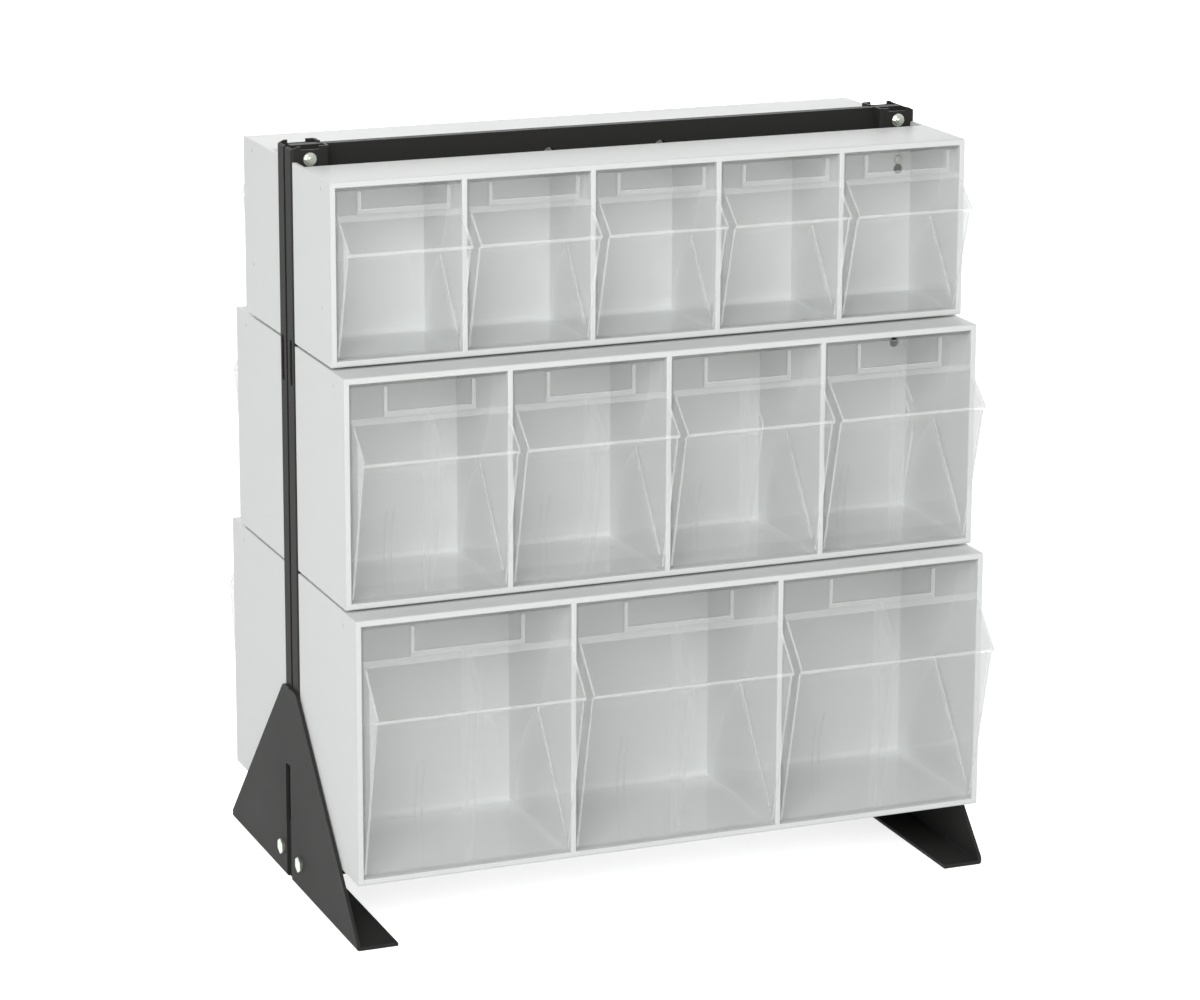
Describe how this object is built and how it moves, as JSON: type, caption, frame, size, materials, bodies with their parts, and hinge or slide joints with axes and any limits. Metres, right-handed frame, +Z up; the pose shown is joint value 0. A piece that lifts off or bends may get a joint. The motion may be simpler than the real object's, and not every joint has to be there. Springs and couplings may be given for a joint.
{
  "type": "store tilt out bin",
  "caption": "Double-sided black steel stand with white cabinets in three stepped rows on each face, holding clear bins that tip forward on stub pins.",
  "frame": {"origin": "on the floor under the middle of the stand", "axes": "+X to the viewer's right along the rows, -Y towards the viewer of the front face, +Z up"},
  "size_m": [0.6144, 0.438, 0.682],
  "materials": {
    "clear_plastic": "clear moulded polystyrene, glossy, slightly grey at the edges",
    "white_plastic": "white moulded plastic, satin",
    "black_steel": "black powder coat with fine grain",
    "zinc_steel": "bright zinc plated"
  },
  "bodies": {
    "stand": {"cabinet_front_top": "white_plastic", "cabinet_back_top": "white_plastic", "cabinet_front_middle": "white_plastic", "cabinet_back_middle": "white_plastic", "cabinet_front_bottom": "white_plastic", "cabinet_back_bottom": "white_plastic", "upright_front_left": "black_steel", "upright_front_right": "black_steel", "upright_back_left": "black_steel", "upright_back_right": "black_steel", "rail_top": "black_steel", "foot_rail_front": "black_steel", "foot_rail_back": "black_steel", "foot_rail_lugs": "black_steel", "foot_front_left": "black_steel", "foot_front_right": "black_steel", "foot_back_left": "black_steel", "foot_back_right": "black_steel", "frame_bolts": "zinc_steel", "frame_washers": "zinc_steel", "frame_nuts": "zinc_steel", "cabinet_screws": "zinc_steel", "cabinet_nuts": "zinc_steel", "foot_bolts": "zinc_steel", "foot_nuts": "zinc_steel"},
    "bin_front_top_1": {"bin_front_top_1": "clear_plastic"},
    "bin_front_top_2": {"bin_front_top_2": "clear_plastic"},
    "bin_front_top_3": {"bin_front_top_3": "clear_plastic"},
    "bin_front_top_4": {"bin_front_top_4": "clear_plastic"},
    "bin_front_top_5": {"bin_front_top_5": "clear_plastic"},
    "bin_back_top_1": {"bin_back_top_1": "clear_plastic"},
    "bin_back_top_2": {"bin_back_top_2": "clear_plastic"},
    "bin_back_top_3": {"bin_back_top_3": "clear_plastic"},
    "bin_back_top_4": {"bin_back_top_4": "clear_plastic"},
    "bin_back_top_5": {"bin_back_top_5": "clear_plastic"},
    "bin_front_middle_1": {"bin_front_middle_1": "clear_plastic"},
    "bin_front_middle_2": {"bin_front_middle_2": "clear_plastic"},
    "bin_front_middle_3": {"bin_front_middle_3": "clear_plastic"},
    "bin_front_middle_4": {"bin_front_middle_4": "clear_plastic"},
    "bin_back_middle_1": {"bin_back_middle_1": "clear_plastic"},
    "bin_back_middle_2": {"bin_back_middle_2": "clear_plastic"},
    "bin_back_middle_3": {"bin_back_middle_3": "clear_plastic"},
    "bin_back_middle_4": {"bin_back_middle_4": "clear_plastic"},
    "bin_front_bottom_1": {"bin_front_bottom_1": "clear_plastic"},
    "bin_front_bottom_2": {"bin_front_bottom_2": "clear_plastic"},
    "bin_front_bottom_3": {"bin_front_bottom_3": "clear_plastic"},
    "bin_back_bottom_1": {"bin_back_bottom_1": "clear_plastic"},
    "bin_back_bottom_2": {"bin_back_bottom_2": "clear_plastic"},
    "bin_back_bottom_3": {"bin_back_bottom_3": "clear_plastic"}
  },
  "joints": [
    {"name": "bin_front_top_1_tilt", "type": "hinge", "parent": "stand", "child": "bin_front_top_1", "pos_m": [-0.238, -0.119, 0.5174], "axis": [1, 0, 0], "range_deg": [0, 35]},
    {"name": "bin_front_top_2_tilt", "type": "hinge", "parent": "stand", "child": "bin_front_top_2", "pos_m": [-0.119, -0.119, 0.5174], "axis": [1, 0, 0], "range_deg": [0, 35]},
    {"name": "bin_front_top_3_tilt", "type": "hinge", "parent": "stand", "child": "bin_front_top_3", "pos_m": [0, -0.119, 0.5174], "axis": [1, 0, 0], "range_deg": [0, 35]},
    {"name": "bin_front_top_4_tilt", "type": "hinge", "parent": "stand", "child": "bin_front_top_4", "pos_m": [0.119, -0.119, 0.5174], "axis": [1, 0, 0], "range_deg": [0, 35]},
    {"name": "bin_front_top_5_tilt", "type": "hinge", "parent": "stand", "child": "bin_front_top_5", "pos_m": [0.238, -0.119, 0.5174], "axis": [1, 0, 0], "range_deg": [0, 35]},
    {"name": "bin_back_top_1_tilt", "type": "hinge", "parent": "stand", "child": "bin_back_top_1", "pos_m": [0.238, 0.119, 0.5174], "axis": [-1, 0, 0], "range_deg": [0, 35]},
    {"name": "bin_back_top_2_tilt", "type": "hinge", "parent": "stand", "child": "bin_back_top_2", "pos_m": [0.119, 0.119, 0.5174], "axis": [-1, 0, 0], "range_deg": [0, 35]},
    {"name": "bin_back_top_3_tilt", "type": "hinge", "parent": "stand", "child": "bin_back_top_3", "pos_m": [0, 0.119, 0.5174], "axis": [-1, 0, 0], "range_deg": [0, 35]},
    {"name": "bin_back_top_4_tilt", "type": "hinge", "parent": "stand", "child": "bin_back_top_4", "pos_m": [-0.119, 0.119, 0.5174], "axis": [-1, 0, 0], "range_deg": [0, 35]},
    {"name": "bin_back_top_5_tilt", "type": "hinge", "parent": "stand", "child": "bin_back_top_5", "pos_m": [-0.238, 0.119, 0.5174], "axis": [-1, 0, 0], "range_deg": [0, 35]},
    {"name": "bin_front_middle_1_tilt", "type": "hinge", "parent": "stand", "child": "bin_front_middle_1", "pos_m": [-0.22312, -0.1505, 0.3099], "axis": [1, 0, 0], "range_deg": [0, 35]},
    {"name": "bin_front_middle_2_tilt", "type": "hinge", "parent": "stand", "child": "bin_front_middle_2", "pos_m": [-0.07437, -0.1505, 0.3099], "axis": [1, 0, 0], "range_deg": [0, 35]},
    {"name": "bin_front_middle_3_tilt", "type": "hinge", "parent": "stand", "child": "bin_front_middle_3", "pos_m": [0.07437, -0.1505, 0.3099], "axis": [1, 0, 0], "range_deg": [0, 35]},
    {"name": "bin_front_middle_4_tilt", "type": "hinge", "parent": "stand", "child": "bin_front_middle_4", "pos_m": [0.22312, -0.1505, 0.3099], "axis": [1, 0, 0], "range_deg": [0, 35]},
    {"name": "bin_back_middle_1_tilt", "type": "hinge", "parent": "stand", "child": "bin_back_middle_1", "pos_m": [0.22312, 0.1505, 0.3099], "axis": [-1, 0, 0], "range_deg": [0, 35]},
    {"name": "bin_back_middle_2_tilt", "type": "hinge", "parent": "stand", "child": "bin_back_middle_2", "pos_m": [0.07437, 0.1505, 0.3099], "axis": [-1, 0, 0], "range_deg": [0, 35]},
    {"name": "bin_back_middle_3_tilt", "type": "hinge", "parent": "stand", "child": "bin_back_middle_3", "pos_m": [-0.07437, 0.1505, 0.3099], "axis": [-1, 0, 0], "range_deg": [0, 35]},
    {"name": "bin_back_middle_4_tilt", "type": "hinge", "parent": "stand", "child": "bin_back_middle_4", "pos_m": [-0.22312, 0.1505, 0.3099], "axis": [-1, 0, 0], "range_deg": [0, 35]},
    {"name": "bin_front_bottom_1_tilt", "type": "hinge", "parent": "stand", "child": "bin_front_bottom_1", "pos_m": [-0.19833, -0.1755, 0.0674], "axis": [1, 0, 0], "range_deg": [0, 35]},
    {"name": "bin_front_bottom_2_tilt", "type": "hinge", "parent": "stand", "child": "bin_front_bottom_2", "pos_m": [0, -0.1755, 0.0674], "axis": [1, 0, 0], "range_deg": [0, 35]},
    {"name": "bin_front_bottom_3_tilt", "type": "hinge", "parent": "stand", "child": "bin_front_bottom_3", "pos_m": [0.19833, -0.1755, 0.0674], "axis": [1, 0, 0], "range_deg": [0, 35]},
    {"name": "bin_back_bottom_1_tilt", "type": "hinge", "parent": "stand", "child": "bin_back_bottom_1", "pos_m": [0.19833, 0.1755, 0.0674], "axis": [-1, 0, 0], "range_deg": [0, 35]},
    {"name": "bin_back_bottom_2_tilt", "type": "hinge", "parent": "stand", "child": "bin_back_bottom_2", "pos_m": [0, 0.1755, 0.0674], "axis": [-1, 0, 0], "range_deg": [0, 35]},
    {"name": "bin_back_bottom_3_tilt", "type": "hinge", "parent": "stand", "child": "bin_back_bottom_3", "pos_m": [-0.19833, 0.1755, 0.0674], "axis": [-1, 0, 0], "range_deg": [0, 35]}
  ]
}
